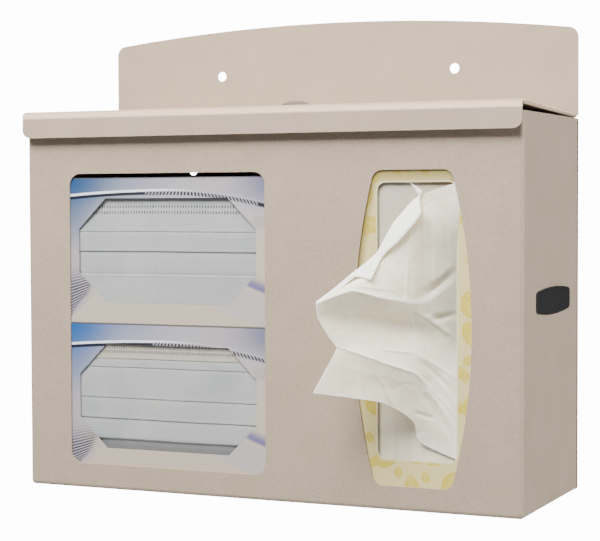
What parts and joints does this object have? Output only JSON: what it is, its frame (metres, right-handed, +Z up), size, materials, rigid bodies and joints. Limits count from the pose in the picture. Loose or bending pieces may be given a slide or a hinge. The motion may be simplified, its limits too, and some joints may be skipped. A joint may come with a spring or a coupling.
{
  "type": "hygiene dispensing station",
  "caption": "Wall-mounted sheet-steel station with a hinged lid that dispenses face masks and tissues from cartons through windows in its front.",
  "frame": {"origin": "midway between the upper two wall-screw holes, on the back plate's rear face", "axes": "+X along the station's width to its right, +Y into the wall, +Z up"},
  "size_m": [0.3964, 0.1906, 0.3587],
  "materials": {
    "powder_coat": "fine textured powder coat",
    "hinge_steel": "plated",
    "bumper": "matt",
    "label": "gloss",
    "mask_board": "printed paperboard",
    "mask_fleece": "non-woven fleece",
    "tissue_board": "printed paperboard",
    "tissue_paper": "soft tissue paper"
  },
  "bodies": {
    "station": {"housing_shell": "powder_coat", "back_plate": "powder_coat", "floor_channel": "powder_coat", "divider": "powder_coat", "hinge_fixed_leaf": "hinge_steel", "hinge_pin": "hinge_steel", "label_plate": "label", "mask_carton_lower": "mask_board", "mask_carton_upper": "mask_board", "mask_stack_lower": "mask_fleece", "mask_stack_upper": "mask_fleece", "front_mask_lower": "mask_fleece", "front_mask_upper": "mask_fleece", "tissue_carton": "tissue_board", "tissue_stack": "tissue_paper", "pulled_tissue": "tissue_paper"},
    "lid": {"lid": "powder_coat", "hinge_lid_leaf": "hinge_steel", "lid_bumper": "bumper"}
  },
  "joints": [
    {"name": "lid_hinge", "type": "hinge", "parent": "station", "child": "lid", "pos_m": [0, -0.0038, -0.0401], "axis": [-1, 0, 0], "range_deg": [0, 80]}
  ]
}
